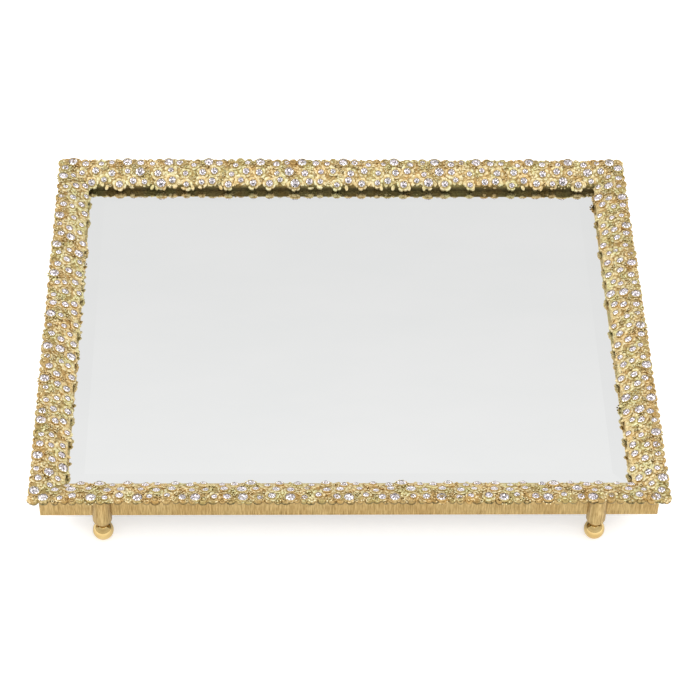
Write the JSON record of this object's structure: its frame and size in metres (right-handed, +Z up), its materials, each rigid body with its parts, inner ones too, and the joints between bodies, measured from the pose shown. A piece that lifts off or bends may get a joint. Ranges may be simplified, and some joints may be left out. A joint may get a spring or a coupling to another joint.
{
  "type": "dresser vanity tray",
  "caption": "Rectangular footed mirror tray with a jewelled flower-encrusted rim, a bevelled mirror deck, a brushed box under the rim and ball feet.",
  "frame": {"origin": "on the floor under the middle of the tray", "axes": "+X the tray's width, +Y its depth with the back at +Y, +Z up"},
  "size_m": [0.382, 0.306, 0.0399],
  "materials": {
    "cast_gold": "cast pale champagne gold plate, satin with antiqued recesses",
    "crystal": "clear foil-backed faceted crystal",
    "brushed_gold": "pale gold plate brushed up and down",
    "polished_gold": "polished gold plate",
    "block_metal": "plain zinc plate",
    "mirror": "bevelled silvered glass",
    "board": "brown hardboard",
    "foam": "white foam tape",
    "panel_metal": "mill finish sheet",
    "felt": "black velveteen",
    "steel": "zinc-plated steel"
  },
  "bodies": {
    "root": {"rail_front": "cast_gold", "rail_back": "cast_gold", "rail_left": "cast_gold", "rail_right": "cast_gold", "large_crystals_front": "crystal", "large_crystals_back": "crystal", "large_crystals_left": "crystal", "large_crystals_right": "crystal", "medium_crystals_front": "crystal", "medium_crystals_back": "crystal", "medium_crystals_left": "crystal", "medium_crystals_right": "crystal", "small_crystals_front": "crystal", "small_crystals_back": "crystal", "small_crystals_left": "crystal", "small_crystals_right": "crystal", "box_wall_front": "brushed_gold", "box_wall_back": "brushed_gold", "box_wall_left": "brushed_gold", "box_wall_right": "brushed_gold", "corner_block_front_left": "block_metal", "corner_block_front_right": "block_metal", "corner_block_back_left": "block_metal", "corner_block_back_right": "block_metal", "mirror_glass": "mirror", "backing_board": "board", "foam_pads": "foam", "base_panel": "panel_metal", "base_felt": "felt", "rail_screws": "steel", "leg_front_left": "brushed_gold", "leg_front_right": "brushed_gold", "leg_back_left": "brushed_gold", "leg_back_right": "brushed_gold", "ball_foot_front_left": "polished_gold", "ball_foot_front_right": "polished_gold", "ball_foot_back_left": "polished_gold", "ball_foot_back_right": "polished_gold", "foot_studs": "steel"}
  },
  "joints": []
}
